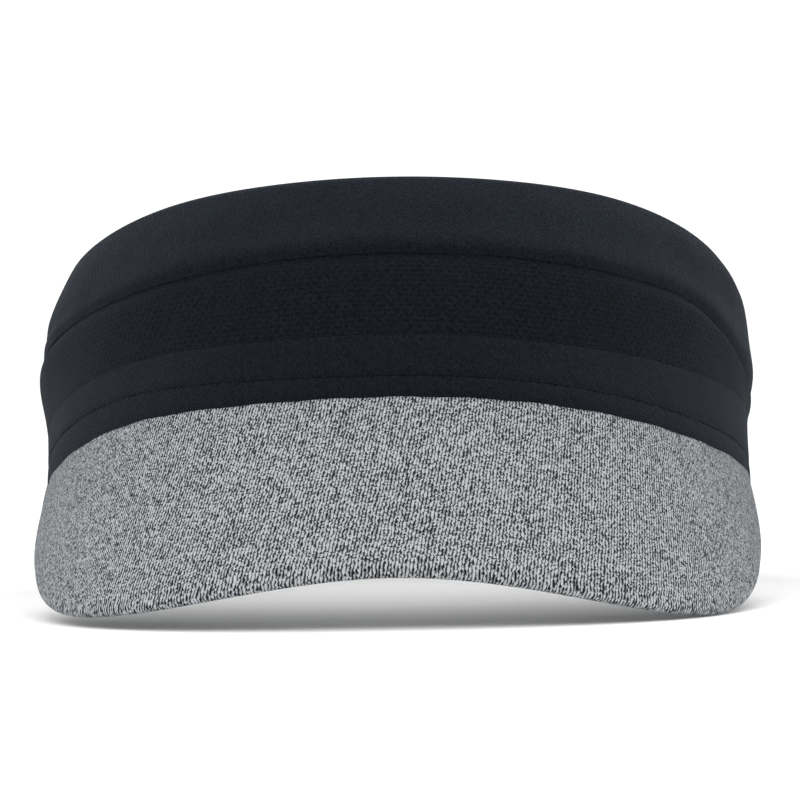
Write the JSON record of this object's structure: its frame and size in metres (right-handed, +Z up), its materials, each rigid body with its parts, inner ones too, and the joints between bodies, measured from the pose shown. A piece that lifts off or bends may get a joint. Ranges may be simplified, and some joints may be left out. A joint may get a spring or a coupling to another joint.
{
  "type": "sports visor headband",
  "caption": "Stretch-knit sports visor: a tall navy headband with a sweatband lining and a curved, knit-covered grey brim.",
  "frame": {"origin": "centre of the footprint, on the surface that the visor stands on", "axes": "+Z up, -Y the way the brim points, +X the wearer's left"},
  "size_m": [0.1596, 0.242, 0.0917],
  "materials": {
    "navy_knit": "fine interlock knit, polyester and elastane",
    "navy_mesh": "vented mesh knit, polyester",
    "heather_knit": "heather jersey knit of light and dark grey yarns",
    "lining": "brushed wicking knit",
    "elastic": "braided elastic",
    "twill": "twill tape",
    "thread": "twisted polyester thread",
    "label": "blank woven satin",
    "foam": "open-cell foam",
    "board": "flexible polyethylene sheet"
  },
  "bodies": {
    "root": {"top_welt": "navy_knit", "top_elastic": "elastic", "vent_panel": "navy_mesh", "lower_panel": "navy_knit", "hem_strip": "navy_knit", "sweatband": "lining", "forehead_pad": "foam", "rear_elastic": "elastic", "brim_mount_tape": "twill", "rear_seam_tape": "twill", "rear_seam_thread": "thread", "care_label": "label", "welt_stitch": "thread", "vent_stitch": "thread", "hem_stitch": "thread", "brim_top_cover": "heather_knit", "brim_foam": "foam", "brim_board": "board", "brim_under_cover": "heather_knit"}
  },
  "joints": []
}
